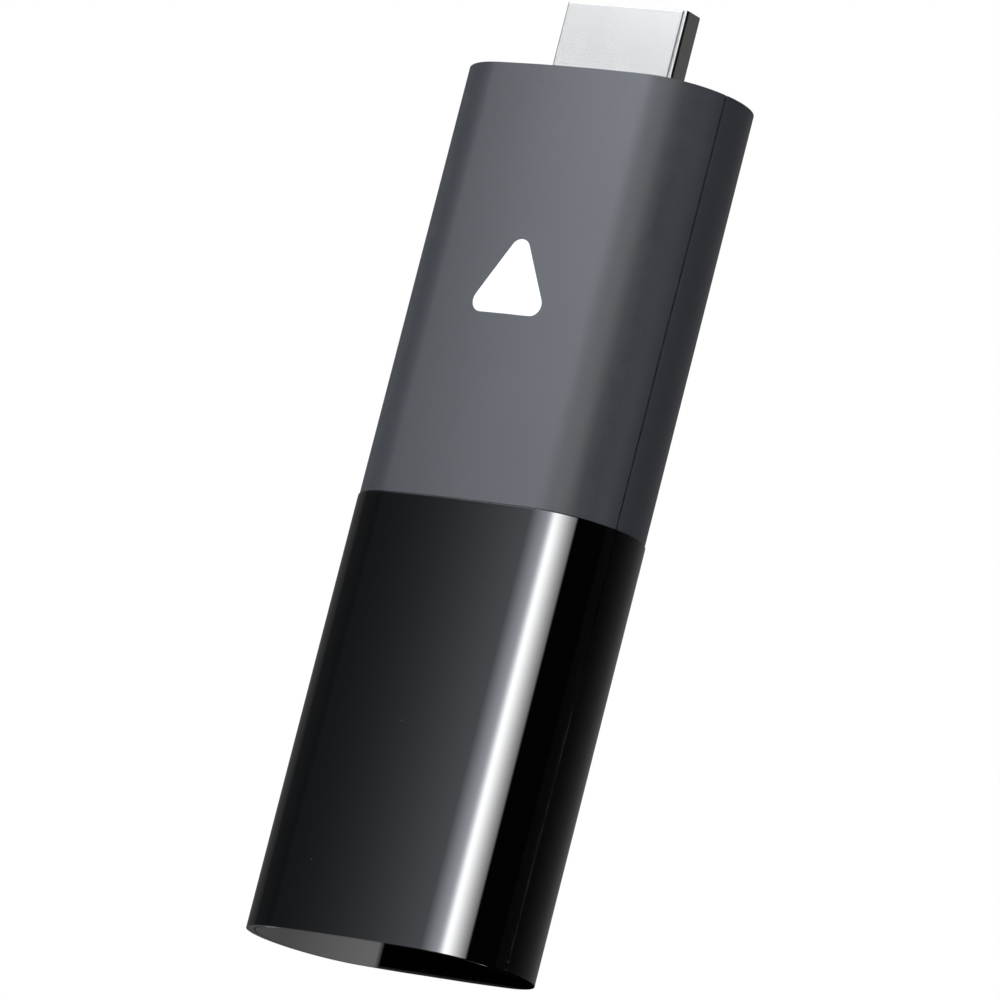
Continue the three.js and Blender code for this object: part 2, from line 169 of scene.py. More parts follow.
@dataclass(frozen=True)
class Oval:
    """Section of the stick: two side arcs, slightly crowned faces and a flat foot."""

    half_width: float
    side_radius: float = 7.27
    face_radius: float = 90.0
    foot_half_width: float = 4.0
    side_steps: int = 60
    face_steps: int = 24

    @property
    def side_x(self) -> float:
        """Distance of the side arcs' centres from the middle."""
        return self.half_width - self.side_radius

    @property
    def face_drop(self) -> float:
        """Distance of a face arc's centre from the middle height."""
        return math.sqrt((self.face_radius - self.side_radius) ** 2 - self.side_x**2)

    @property
    def middle(self) -> float:
        """Height of the widest place above the foot."""
        return math.sqrt(self.face_radius**2 - self.foot_half_width**2) - self.face_drop

    @property
    def meet(self) -> float:
        """Angle where a side arc runs into a face arc."""
        return math.atan2(self.face_drop, self.side_x)

    def lift(self, inset: float, height: float) -> float:
        """Angle on a side arc of the given inset at a height."""
        return math.asin((height - self.middle) / (self.side_radius - inset))

    def front(self, inset: float, height: float) -> list[Point]:
        """The outline above a height, from the right side over the front to the left.

        Args:
            inset: How far inside the outer surface it lies.
            height: Where it starts and ends.

        Returns:
            The points in order.
        """
        lift = self.lift(inset, height)
        radius = self.side_radius - inset
        face = (0.0, self.middle - self.face_drop)
        far_meet = math.pi - self.meet
        points = arc((self.side_x, self.middle), radius, lift, self.meet, self.side_steps)
        points += arc(face, self.face_radius - inset, self.meet, far_meet, self.face_steps)[1:]
        left = (-self.side_x, self.middle)
        points += arc(left, radius, far_meet, math.pi - lift, self.side_steps)[1:]
        return points

    def rear(self, inset: float, height: float) -> list[Point]:
        """The outline below a height, from the left side under the foot to the right.

        Args:
            inset: How far inside the outer surface it lies.
            height: Where it starts and ends.

        Returns:
            The points in order.
        """
        lift = self.lift(inset, height)
        radius = self.side_radius - inset
        face = (0.0, self.middle + self.face_drop)
        foot = math.asin(self.foot_half_width / self.face_radius)
        down = 1.5 * math.pi
        half_steps = self.face_steps // 2
        turn = math.pi + self.meet
        points = arc((-self.side_x, self.middle), radius, math.pi - lift, turn, self.side_steps)
        points += arc(face, self.face_radius - inset, turn, down - foot, half_steps)[1:]
        points += arc(face, self.face_radius - inset, down + foot, 2 * math.pi - self.meet, half_steps)
        right = (self.side_x, self.middle)
        points += arc(right, radius, -self.meet, lift, self.side_steps)[1:]
        return points

    def outline(self, half: Half, inset: float, height: float) -> list[Point]:
        """The open outline of one cover.

        Args:
            half: Front or rear cover.
            inset: How far inside the outer surface it lies.
            height: Height of its edges.

        Returns:
            The points in order.
        """
        return self.front(inset, height) if half is Half.FRONT else self.rear(inset, height)

    def closed(self, inset: float) -> list[Point]:
        """The whole closed outline at an inset."""
        return self.front(inset, self.middle) + self.rear(inset, self.middle)[1:-1]


# ------------------------------------------------------------------ making meshes


class Workpiece:
    """A mesh being made in millimetres, which becomes a piece of the player in metres."""

    def __init__(self, name: str) -> None:
        """Starts an empty mesh.

        Args:
            name: Name of the piece.
        """
        self.name = name
        self.mesh = bmesh.new()

    def ring_y(self, y: float, outline: list[Point]) -> Ring:
        """A row of points across the stick at a place along it.

        Args:
            y: The place.
            outline: The points' X and Z.

        Returns:
            The new vertices.
        """
        return [self.mesh.verts.new((x, y, z)) for x, z in outline]

    def ring_x(self, x: float, outline: list[Point]) -> Ring:
        """A row of points along the stick at a place across it.

        Args:
            x: The place.
            outline: The points' Y and Z.

        Returns:
            The new vertices.
        """
        return [self.mesh.verts.new((x, y, z)) for y, z in outline]

    def ring_z(self, z: float, outline: list[Point]) -> Ring:
        """A row of points round the stick at a height.

        Args:
            z: The height.
            outline: The points' X and Y.

        Returns:
            The new vertices.
        """
        return [self.mesh.verts.new((x, y, z)) for x, y in outline]

    def strip(self, first: Ring, second: Ring, closed: bool) -> None:
        """Joins two rows of points with a strip of faces.

        Args:
            first: One row.
            second: The other, with as many points.
            closed: Whether the strip runs round to its start.
        """
        pairs = list(zip(first, second, strict=True))
        for (a, b), (c, d) in pairwise(pairs + pairs[: int(closed)]):
            self.mesh.faces.new((a, b, d, c))

    def sleeve(self, rings: list[Ring], closed: bool) -> None:
        """Joins each row of points to the next one.

        Args:
            rings: The rows in order.
            closed: Whether each row is a closed outline.
        """
        for first, second in pairwise(rings):
            self.strip(first, second, closed)

    def face(self, ring: Ring) -> None:
        """Closes an outline with one flat face."""
        self.mesh.faces.new(ring)

    def block(self, rings: list[Ring]) -> None:
        """Joins closed outlines in order, and closes the first and the last.

        Args:
            rings: The outlines in order.
        """
        self.sleeve(rings, closed=True)
        self.face(rings[0])
        self.face(rings[-1])

    def face_with_hole(self, outer: Ring, hole: Ring) -> None:
        """Fills the flat stretch between two outlines that turn the same way.

        Args:
            outer: The outline outside.
            hole: The outline of the hole.
        """
        def path(ring: Ring, first: int, last: int) -> Ring:
            """Vertices of a ring from one index forwards to another."""
            length = (last - first) % len(ring)
            return [ring[(first + step) % len(ring)] for step in range(length + 1)]

        def ends(ring: Ring) -> tuple[int, int]:
            """Indexes of a ring's lowest and highest vertex along X."""
            across = [vertex.co.x for vertex in ring]
            return across.index(min(across)), across.index(max(across))

        outer_low, outer_high = ends(outer)
        hole_low, hole_high = ends(hole)
        self.face(path(outer, outer_low, outer_high) + path(hole, hole_low, hole_high)[::-1])
        self.face(path(outer, outer_high, outer_low) + path(hole, hole_high, hole_low)[::-1])

    def solid(self) -> bpy.types.Object:
        """The mesh as an object in millimetres, with its faces pointing out."""
        bmesh.ops.recalc_face_normals(self.mesh, faces=self.mesh.faces[:])
        data = bpy.data.meshes.new(self.name)
        self.mesh.to_mesh(data)
        self.mesh.free()
        made = bpy.data.objects.new(self.name, data)
        bpy.context.scene.collection.objects.link(made)
        return made


def settle(made: bpy.types.Object) -> None:
    """Turns an object's modifiers into its mesh.

    Args:
        made: The object.
    """
    bpy.context.view_layer.update()
    depsgraph = bpy.context.evaluated_depsgraph_get()
    data = bpy.data.meshes.new_from_object(made.evaluated_get(depsgraph))
    made.modifiers.clear()
    made.data = data
    data.name = made.name


class Cut(Enum):
    """What a cutting tool does to a solid."""

    AWAY = "DIFFERENCE"
    KEEP_COMMON = "INTERSECT"


def cut(made: bpy.types.Object, tool: bpy.types.Object, how: Cut = Cut.AWAY) -> None:
    """Cuts one solid with another, and removes the tool.

    Args:
        made: The piece that is cut.
        tool: The solid that cuts it.
        how: Whether the piece loses the tool's space or keeps only that.
    """
    boolean = made.modifiers.new("cut", "BOOLEAN")
    boolean.operation = how.value
    boolean.solver = "EXACT"
    boolean.object = tool
    settle(made)
    bpy.data.objects.remove(tool)


def round_edges(made: bpy.types.Object, widest: float, rule: EdgeRule, segments: int = 3) -> None:
    """Rounds the sharp edges of a solid.

    Args:
        made: The solid.
        widest: Width of the widest rounding.
        rule: Gives the rounding's width at the middle of an edge.
        segments: Stretches across each rounding.
    """
    work = bmesh.new()
    work.from_mesh(made.data)
    weight = work.edges.layers.float.new("bevel_weight_edge")
    for edge in work.edges:
        if len(edge.link_faces) == 2 and edge.calc_face_angle(0.0) > ROUNDED_FROM:
            middle = (edge.verts[0].co + edge.verts[1].co) / 2
            edge[weight] = rule(middle) / widest
    work.to_mesh(made.data)
    work.free()
    bevel = made.modifiers.new("rounding", "BEVEL")
    bevel.limit_method = "WEIGHT"
    bevel.width = widest
    bevel.segments = segments
    bevel.use_clamp_overlap = True
    settle(made)


def install(made: bpy.types.Object, nodes: list[str], smooth: bool) -> None:
    """Scales a piece to metres, shades it and puts it on the player.

    Args:
        made: The piece in millimetres.
        nodes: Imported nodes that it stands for.
        smooth: Whether its faces run smoothly into each other.
    """
    for vertex in made.data.vertices:
        vertex.co *= MM
    if smooth:
        made.data.shade_smooth()
        made.data.set_sharp_from_angle(angle=CREASED_FROM)
        weighted = made.modifiers.new("even_shading", "WEIGHTED_NORMAL")
        weighted.keep_sharp = True
        weighted.mode = "FACE_AREA"
        weighted.weight = FLAT_FACE_WEIGHT
    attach(made, BODY)
    if nodes:
        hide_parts(*nodes)
    log.info("made %s for %s", made.name, ", ".join(nodes) or "itself")


# ------------------------------------------------------------------ drawing materials

# A Mix node keeps its colour sockets after the ones for numbers and vectors.
MIX_FIRST = 6
MIX_SECOND = 7
MIX_RESULT = 2

DRIFT_SPAN = (0.35, 0.65)
SMEAR_SPAN = (0.3, 0.7)
DUST_COLOUR: Colour = (0.5, 0.49, 0.47)


class Sheet:
    """A node tree being drawn, with short calls for its nodes and links."""

    def __init__(self, tree: bpy.types.NodeTree) -> None:
        """Takes the tree to draw in."""
        self.tree = tree

    def add(self, kind: str, inputs: dict | None = None, **settings: object) -> bpy.types.Node:
        """Adds a node.

        Args:
            kind: Blender's name for the kind of node.
            inputs: Values or sockets for its inputs, by name or number.
            settings: Its other properties.

        Returns:
            The node.
        """
        node = self.tree.nodes.new(kind)
        for name, value in settings.items():
            setattr(node, name, value)
        for name, value in (inputs or {}).items():
            self.feed(node.inputs[name], value)
        return node

    def feed(self, socket: bpy.types.NodeSocket, value: object) -> None:
        """Links a socket to another one, or sets its value.

        Args:
            socket: The input.
            value: An output socket, or a plain value.
        """
        if isinstance(value, bpy.types.NodeSocket):
            self.tree.links.new(value, socket)
        elif isinstance(value, tuple) and len(value) == 3 and len(socket.default_value) == 4:
            socket.default_value = (*value, 1.0)
        else:
            socket.default_value = value

    def math(self, operation: str, *values: object) -> bpy.types.NodeSocket:
        """The result of a Math node.

        Args:
            operation: Blender's name for the operation.
            values: Its inputs in order.

        Returns:
            The output socket.
        """
        return self.add("ShaderNodeMath", dict(enumerate(values)), operation=operation).outputs[0]

    def blend(self, share: object, first: object, second: object) -> bpy.types.NodeSocket:
        """A mix of two colours.

        Args:
            share: How much of the second there is.
            first: The first colour.
            second: The second colour.

        Returns:
            The mixed colour.
        """
        node = self.add("ShaderNodeMix", data_type="RGBA")
        self.feed(node.inputs[0], share)
        self.feed(node.inputs[MIX_FIRST], first)
        self.feed(node.inputs[MIX_SECOND], second)
        return node.outputs[MIX_RESULT]

    def spread(
        self, value: object, low: float, high: float, to_low: float, to_high: float
    ) -> bpy.types.NodeSocket:
        """A value carried from one span to another, held within it.

        Args:
            value: The value.
            low: Lower end of the first span.
            high: Higher end of the first span.
            to_low: What the lower end becomes.
            to_high: What the higher end becomes.

        Returns:
            The new value.
        """
        node = self.add("ShaderNodeMapRange", {0: value, 1: low, 2: high, 3: to_low, 4: to_high})
        return node.outputs[0]


def start_group(
    name: str, inputs: dict[str, float], outputs: list[str]
) -> tuple[Sheet, bpy.types.Node, bpy.types.Node]:
    """Starts a shader node group of plain numbers.

    Args:
        name: Name of the group.
        inputs: Its inputs and their defaults.
        outputs: Its outputs.

    Returns:
        The sheet, its input node and its output node.
    """
    tree = bpy.data.node_groups.new(name, "ShaderNodeTree")
    for label, default in inputs.items():
        socket = tree.interface.new_socket(name=label, in_out="INPUT", socket_type="NodeSocketFloat")
        socket.default_value = default
    for label in outputs:
        tree.interface.new_socket(name=label, in_out="OUTPUT", socket_type="NodeSocketFloat")
    sheet = Sheet(tree)
    return sheet, sheet.add("NodeGroupInput"), sheet.add("NodeGroupOutput")


@dataclass
class Effects:
    """The surface effects that several finishes share, each a node group."""

    noise_share: float = 0.6
    grains_per_drift: float = 30.0
    line_stretch: float = 0.035
    lines_per_band: float = 12.0
    worn_bend: float = 0.08
    patch_span: tuple[float, float] = (0.38, 0.62)
    smear_twist: float = 1.2
    specks_per_metre: float = 420.0
    speck_core: float = 0.012
    speck_edge: float = 0.03
    grain: bpy.types.NodeTree = field(init=False)
    brushing: bpy.types.NodeTree = field(init=False)
    wear: bpy.types.NodeTree = field(init=False)
    handling: bpy.types.NodeTree = field(init=False)

    def __post_init__(self) -> None:
        """Draws the groups."""
        self.grain = self.draw_grain()
        self.brushing = self.draw_brushing()
        self.wear = self.draw_wear()
        self.handling = self.draw_handling()

    def draw_grain(self) -> bpy.types.NodeTree:
        """Fine moulded grain: its height, and a slow drift of tone."""
        sheet, given, result = start_group(
            "moulded_grain", {"Grains per metre": 6000.0}, ["Height", "Drift"]
        )
        place = sheet.add("ShaderNodeTexCoord").outputs["Object"]
        scale = given.outputs[0]
        fine = sheet.add("ShaderNodeTexNoise", {"Vector": place, "Scale": scale, "Detail": 3.0})
        cells = sheet.add("ShaderNodeTexVoronoi", {"Vector": place, "Scale": scale}, feature="SMOOTH_F1")
        slow = sheet.math("DIVIDE", scale, self.grains_per_drift)
        drift = sheet.add("ShaderNodeTexNoise", {"Vector": place, "Scale": slow, "Detail": 4.0})
        rounded_cells = sheet.math("MULTIPLY", cells.outputs[0], 1 - self.noise_share)
        height = sheet.math("MULTIPLY_ADD", fine.outputs[0], self.noise_share, rounded_cells)
        sheet.feed(result.inputs["Height"], height)
        sheet.feed(result.inputs["Drift"], drift.outputs[0])
        return sheet.tree

    def draw_brushing(self) -> bpy.types.NodeTree:
        """Long fine lines along Y, as rolled or drawn metal has."""
        sheet, given, result = start_group(
            "drawn_lines", {"Lines per metre": 9000.0}, ["Height", "Tone"]
        )
        place = sheet.add("ShaderNodeTexCoord").outputs["Object"]
        scale = given.outputs[0]
        stretched = sheet.add(
            "ShaderNodeVectorMath", {0: place, 1: (1.0, self.line_stretch, 1.0)}, operation="MULTIPLY"
        ).outputs[0]
        lines = sheet.add("ShaderNodeTexNoise", {"Vector": stretched, "Scale": scale, "Detail": 2.0})
        wide = sheet.math("DIVIDE", scale, self.lines_per_band)
        broad = sheet.add("ShaderNodeTexNoise", {"Vector": stretched, "Scale": wide, "Detail": 2.0})
        sheet.feed(result.inputs["Height"], lines.outputs[0])
        sheet.feed(result.inputs["Tone"], broad.outputs[0])
        return sheet.tree

    def draw_wear(self) -> bpy.types.NodeTree:
        """Edges polished by handling: a mask that is patchy along convex edges."""
        sheet, given, result = start_group(
            "edge_wear", {"Threshold": 0.58, "Patches per metre": 900.0}, ["Mask"]
        )
        threshold, scale = given.outputs[0], given.outputs[1]
        bend = sheet.add("ShaderNodeNewGeometry").outputs["Pointiness"]
        place = sheet.add("ShaderNodeTexCoord").outputs["Object"]
        patches = sheet.add("ShaderNodeTexNoise", {"Vector": place, "Scale": scale, "Detail": 4.0})
        above = sheet.math("SUBTRACT", bend, threshold)
        edge = sheet.spread(above, 0.0, self.worn_bend, 0.0, 1.0)
        patchy = sheet.spread(patches.outputs[0], *self.patch_span, 0.0, 1.0)
        sheet.feed(result.inputs["Mask"], sheet.math("MULTIPLY", edge, patchy))
        return sheet.tree

    def draw_handling(self) -> bpy.types.NodeTree:
        """Faint smears and a few specks of dust."""
        sheet, given, result = start_group("handling", {"Smears per metre": 70.0}, ["Smear", "Dust"])
        place = sheet.add("ShaderNodeTexCoord").outputs["Object"]
        smear = sheet.add("ShaderNodeTexNoise", {
            "Vector": place, "Scale": given.outputs[0], "Detail": 5.0, "Distortion": self.smear_twist,
        })
        specks = sheet.add(
            "ShaderNodeTexVoronoi", {"Vector": place, "Scale": self.specks_per_metre}, feature="F1"
        )
        dust = sheet.spread(specks.outputs[0], self.speck_core, self.speck_edge, 1.0, 0.0)
        sheet.feed(result.inputs["Smear"], smear.outputs[0])
        sheet.feed(result.inputs["Dust"], dust)
        return sheet.tree


@dataclass(frozen=True)
class Finish:
    """One finish: colours, shine and the depth of its surface detail."""

    name: str
    colour: Colour
    drift_colour: Colour
    roughness: float
    roughness_swing: float = 0.06
    metallic: float = 0.0
    specular: float = 0.5
    grains: float = 6000.0
    grain_depth: float = 0.00001
    grain_strength: float = 0.2
    brushed: bool = False
    wear_colour: Colour = (0.2, 0.2, 0.2)
    wear: float = 0.15
    dust: float = 0.0
    coat: float = 0.0

    def material(self, effects: Effects) -> bpy.types.Material:
        """Draws the finish as a material.

        Args:
            effects: The shared surface effects.

        Returns:
            The material.
        """
        made = bpy.data.materials.new(self.name)
        made.use_nodes = True
        sheet = Sheet(made.node_tree)
        sheet.tree.nodes.clear()
        texture = effects.brushing if self.brushed else effects.grain
        surface = sheet.add("ShaderNodeGroup", node_tree=texture)
        surface.inputs[0].default_value = self.grains
        wear = sheet.add("ShaderNodeGroup", node_tree=effects.wear)
        handling = sheet.add("ShaderNodeGroup", node_tree=effects.handling)
        drift = sheet.spread(surface.outputs[1], *DRIFT_SPAN, 0.0, 1.0)
        plain = sheet.blend(drift, self.colour, self.drift_colour)
        worn_share = sheet.math("MULTIPLY", wear.outputs["Mask"], self.wear)
        worn = sheet.blend(worn_share, plain, self.wear_colour)
        dust_share = sheet.math("MULTIPLY", handling.outputs["Dust"], self.dust)
        dusty = sheet.blend(dust_share, worn, DUST_COLOUR)
        low = self.roughness - self.roughness_swing / 2
        high = self.roughness + self.roughness_swing / 2
        smeared = sheet.spread(handling.outputs["Smear"], *SMEAR_SPAN, low, high)
        grainy = sheet.math("MULTIPLY_ADD", surface.outputs[0], self.roughness_swing / 2, smeared)
        bump = sheet.add("ShaderNodeBump", {
            "Strength": self.grain_strength,
            "Distance": self.grain_depth,
            "Height": surface.outputs[0],
        })
        shader = sheet.add(
            "ShaderNodeBsdfPrincipled",
            {
                "Base Color": dusty,
                "Roughness": grainy,
                "Metallic": self.metallic,
                "Specular IOR Level": self.specular,
                "Coat Weight": self.coat,
                "Normal": bump.outputs[0],
            },
        )
        sheet.add("ShaderNodeOutputMaterial", {"Surface": shader.outputs[0]})
        return made


class Material(Enum):
    """The finishes of the player's parts."""

    MATTE_SHELL = Finish(
        "matte_shell", (0.0295, 0.0313, 0.0355), (0.0278, 0.0296, 0.0337), 0.335, 0.02,
        grains=5200.0, grain_depth=0.000012, grain_strength=0.12, wear=0.12,
        wear_colour=(0.09, 0.09, 0.1),
    )
    GLOSS_SHELL = Finish(
        "gloss_shell", (0.0009, 0.001, 0.0012), (0.0007, 0.0008, 0.001), 0.025, 0.01,
        specular=1.0, grains=900.0, grain_depth=0.000002, grain_strength=0.02, wear=0.0, dust=0.1,
        wear_colour=(0.05, 0.05, 0.05),
    )
    PLUG_STEEL = Finish(
        "plug_steel", (0.65, 0.645, 0.635), (0.63, 0.625, 0.615), 0.13, 0.02, metallic=1.0,
        grains=9000.0, grain_depth=0.000002, grain_strength=0.06, brushed=True, wear=0.3,
        wear_colour=(0.8, 0.8, 0.8),
    )
    CONTACT_GOLD = Finish(
        "contact_gold", (0.83, 0.6, 0.24), (0.78, 0.55, 0.2), 0.26, 0.08, metallic=1.0,
        grains=14000.0, grain_depth=0.000003, brushed=True, wear_colour=(0.8, 0.72, 0.6),
    )
    BLACK_RESIN = Finish("black_resin", (0.012, 0.012, 0.013), (0.018, 0.018, 0.019), 0.55, 0.1)
    BOARD_LAMINATE = Finish(
        "board_laminate", (0.01, 0.075, 0.028), (0.012, 0.1, 0.036), 0.38, 0.1,
        grains=1600.0, coat=0.3,
    )
    CHIP_EPOXY = Finish(
        "chip_epoxy", (0.014, 0.014, 0.015), (0.022, 0.022, 0.023), 0.62, 0.1, grains=9000.0
    )
    SHIELD_STEEL = Finish(
        "shield_steel", (0.62, 0.63, 0.64), (0.55, 0.56, 0.57), 0.34, 0.1, metallic=1.0, brushed=True
    )
    SPREADER_ALUMINIUM = Finish(
        "spreader_aluminium", (0.74, 0.75, 0.76), (0.68, 0.69, 0.7), 0.42, 0.1,
        metallic=1.0, brushed=True,
    )
    THERMAL_PAD = Finish(
        "thermal_pad", (0.2, 0.25, 0.34), (0.24, 0.29, 0.38), 0.85, 0.08, grains=3000.0
    )
    PALE_CERAMIC = Finish("pale_ceramic", (0.38, 0.27, 0.15), (0.44, 0.32, 0.19), 0.5, 0.1)
    DARK_FERRITE = Finish(
        "dark_ferrite", (0.035, 0.035, 0.037), (0.05, 0.05, 0.052), 0.6, 0.12, grains=4000.0
    )
    MARK_INK = Finish(
        "mark_ink", (0.88, 0.88, 0.88), (0.85, 0.85, 0.85), 0.4, 0.06,
        grains=7000.0, grain_depth=0.000004,
    )


class Wardrobe:
    """Holds the finished materials, each drawn once, and dresses pieces in them."""

    def __init__(self, effects: Effects) -> None:
        """Takes the shared effects."""
        self.effects = effects
        self.drawn: dict[Material, bpy.types.Material] = {}

    def dress(self, piece: bpy.types.Object, finish: Material) -> None:
        """Gives a piece its finish.

        Args:
            piece: The piece.
            finish: Which finish it gets.
        """
        if finish not in self.drawn:
            self.drawn[finish] = finish.value.material(self.effects)
        piece.data.materials.clear()
        piece.data.materials.append(self.drawn[finish])

    def finish(
        self, made: bpy.types.Object, look: Material, nodes: list[str],
        slot: str = "", smooth: bool = True,
    ) -> None:
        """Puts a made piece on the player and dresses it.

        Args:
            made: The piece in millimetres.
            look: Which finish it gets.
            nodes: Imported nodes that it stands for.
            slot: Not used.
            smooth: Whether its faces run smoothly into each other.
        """
        install(made, nodes, smooth)
        self.dress(made, look)


# ------------------------------------------------------------------ covers


@dataclass
class Covers:
    """The two matte covers, the two gloss covers and the end plate."""

    wardrobe: Wardrobe
    wall: float = 1.5
    parting_rise: float = 2.19
    seam_gap: float = 0.18
    join_gap: float = 0.06
    packed_half_gap: float = 0.15
    gloss_inset: float = 0.0001
    matte_inset: float = 0.1
    lap_inset: float = 0.8
    lap_reach: float = 1.0
    lap_clearance: float = 0.05
    rim: float = 0.2
    side_rim: float = 0.85
    plate_gap: float = 0.1
    plate_thickness: float = 1.2
    plate_rounding: float = 0.012
    ledge_inset: float = 2.6
    ledge_thickness: float = 1.0
    nose_rounding: float = 0.16
    join_rounding: float = 0.05
    seam_rounding: float = 0.03
    hole_rounding: float = 0.16
    plug_clearance: float = 0.12
    inlet_clearance: float = 0.3
    mark_middle: float = 16.5
    mark_length: float = 8.4
    mark_width: float = 9.4
    mark_rounding: float = 1.1
    mark_corner_steps: int = 8
    mark_thickness: float = 0.012
    mark_tool_top: float = 2.2
    end_zone: float = 0.01
    join_margin: float = 0.2
    side_zone: float = 2.5
    inlet_margin: float = 1.0
    tool_outside: float = 1.0
    tool_inside: float = 2.0
    oval: Oval = field(init=False)
    tail: float = field(init=False)
    nose: float = field(init=False)
    join: float = field(init=False)

    def __post_init__(self) -> None:
        """Takes the body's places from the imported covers."""
        low, high = box_mm("rear_cover_gloss")
        matte_low, matte_high = box_mm("front_cover_matte")
        self.oval = Oval(half_width=(high.x - low.x) / 2)
        self.tail = low.y
        self.nose = matte_high.y
        self.join = matte_low.y - self.packed_half_gap

    def edge_height(self, half: Half) -> float:
        """Height of a cover's edge beside the parting line."""
        side = 1 if half is Half.FRONT else -1
        return self.oval.middle + self.parting_rise + side * self.seam_gap / 2

    def plate_oval(self) -> Oval:
        """The section of the end plate's seat, narrower than the stick at both sides."""
        return Oval(half_width=self.oval.half_width - self.side_rim + self.rim)

    def rings(
        self, work: Workpiece, half: Half, stations: list[Point], oval: Oval | None = None
    ) -> list[Ring]:
        """Rows of points on a cover.

        Args:
            work: The mesh.
            half: Which cover.
            stations: Place along the stick and inset of each row.
            oval: The section to follow, which is the stick's own if left out.

        Returns:
            The rows in order.
        """
        height = self.edge_height(half)
        section = oval or self.oval
        return [work.ring_y(y, section.outline(half, inset, height)) for y, inset in stations]

    def rounding_rule(self, middle: Vector) -> float:
        """Width of the rounding of a sharp edge, by where the edge is."""
        if middle.y > self.nose - self.end_zone:
            return self.nose_rounding
        if middle.y < self.tail + self.end_zone:
            return 0.0
        near_parting = abs(middle.z - self.oval.middle - self.parting_rise) < self.seam_gap
        if near_parting:
            return self.seam_rounding
        if abs(middle.y - self.join) < self.lap_reach + self.join_margin:
            return self.join_rounding
        at_side = abs(middle.x) > self.oval.half_width - self.side_zone
        return self.hole_rounding if at_side else self.join_rounding

    def matte(self, half: Half, plug_outline: list[Point]) -> None:
        """Makes one matte cover, closed by the nose wall.

        Args:
            half: Which cover.
            plug_outline: The plug's hole in the nose, used by the rear cover.
        """
        work = Workpiece(f"{half.value}_matte_shell")
        start = self.join + self.join_gap
        rebate = self.join + self.lap_reach + self.lap_clearance
        rebate_inset = self.lap_inset - self.lap_clearance
        rings = self.rings(work, half, [
            (self.nose - self.wall, self.wall),
            (rebate, self.wall),
            (rebate, rebate_inset),
            (start, rebate_inset),
            (start, self.matte_inset),
            (self.nose, self.matte_inset),
        ])
        work.sleeve(rings, closed=False)
        work.face([ring[0] for ring in rings] + [ring[-1] for ring in reversed(rings)])
        if half is Half.FRONT:
            work.face(rings[0])
            work.face(rings[-1])
        else:
            holes = [work.ring_y(y, plug_outline) for y in (self.nose - self.wall, self.nose)]
            work.sleeve(holes, closed=True)
            work.face_with_hole(rings[0], holes[0])
            work.face_with_hole(rings[-1], holes[1])
        made = work.solid()
        round_edges(made, self.nose_rounding, self.rounding_rule)
        self.wardrobe.finish(made, Material.MATTE_SHELL, [f"{half.value}_cover_matte"])

    def gloss(self, half: Half, inlet_outline: list[Point]) -> None:
        """Makes one gloss cover, open at the tail for the end plate.

        Args:
            half: Which cover.
            inlet_outline: The inlet's hole in the side, used by the rear cover.
        """
        work = Workpiece(f"{half.value}_gloss_shell")
        seat = self.tail + self.plate_thickness + self.plate_gap
        skin = self.gloss_inset
        stations = [(self.tail, skin)]
        if half is Half.REAR:
            along = [y for y, _ in inlet_outline]
            stations.append((min(along) - self.inlet_margin, skin))
            stations.append((max(along) + self.inlet_margin, skin))
        stations += [
            (self.join, skin),
            (self.join, self.lap_inset),
            (self.join + self.lap_reach, self.lap_inset),
            (self.join + self.lap_reach, self.wall),
            (seat + self.ledge_thickness, self.wall),
            (seat + self.ledge_thickness, self.ledge_inset),
            (seat, self.ledge_inset),
        ]
        rings = self.rings(work, half, stations)
        rings += self.rings(work, half, [(seat, self.rim), (self.tail, self.rim)], self.plate_oval())
        work.sleeve([*rings, rings[0]], closed=False)
        work.face([ring[0] for ring in rings])
        work.face([ring[-1] for ring in rings])
        made = work.solid()
        if half is Half.REAR:
            tool = Workpiece("inlet_tool")
            reach = (-self.oval.half_width - self.tool_outside, -self.oval.side_x - self.tool_inside)
            tool.block([tool.ring_x(x, inlet_outline) for x in reach])
            cut(made, tool.solid())
        round_edges(made, self.hole_rounding, self.rounding_rule)
        self.wardrobe.finish(made, Material.GLOSS_SHELL, [f"{half.value}_cover_gloss"])

    def mark(self) -> None:
        """Makes the printed triangle on the front matte cover."""
        work = Workpiece("front_mark")
        height = self.oval.middle + self.oval.side_radius / 2
        outer = self.matte_inset - self.mark_thickness
        section = self.oval.front(outer, height) + self.oval.front(self.matte_inset, height)[::-1]
        ends = (self.mark_middle - self.mark_length, self.mark_middle + self.mark_length)
        work.block([work.ring_y(y, section) for y in ends])
        made = work.solid()
        wide, back = self.mark_width / 2, self.mark_length / 3
        corners = [(-wide, -back), (0.0, self.mark_length - back), (wide, -back)]
        flat = rounded(corners, [self.mark_rounding] * 3, self.mark_corner_steps)
        tool = Workpiece("mark_tool")
        tool.block([
            tool.ring_z(z, [(x, y + self.mark_middle) for x, y in flat])
            for z in (self.oval.middle, self.mark_tool_top * self.oval.middle)
        ])
        cut(made, tool.solid(), Cut.KEEP_COMMON)
        self.wardrobe.finish(made, Material.MARK_INK, [], slot="matte_shell", smooth=False)

    def end_plate(self) -> None:
        """Makes the flat plate let into the tail."""
        work = Workpiece("tail_plate")
        outline = self.plate_oval().closed(self.rim + self.plate_gap)
        work.block([work.ring_y(y, outline) for y in (self.tail, self.tail + self.plate_thickness)])
        made = work.solid()
        round_edges(made, self.plate_rounding, lambda middle: self.plate_rounding, segments=2)
        self.wardrobe.finish(made, Material.GLOSS_SHELL, ["end_plate"])


# ------------------------------------------------------------------ video plug


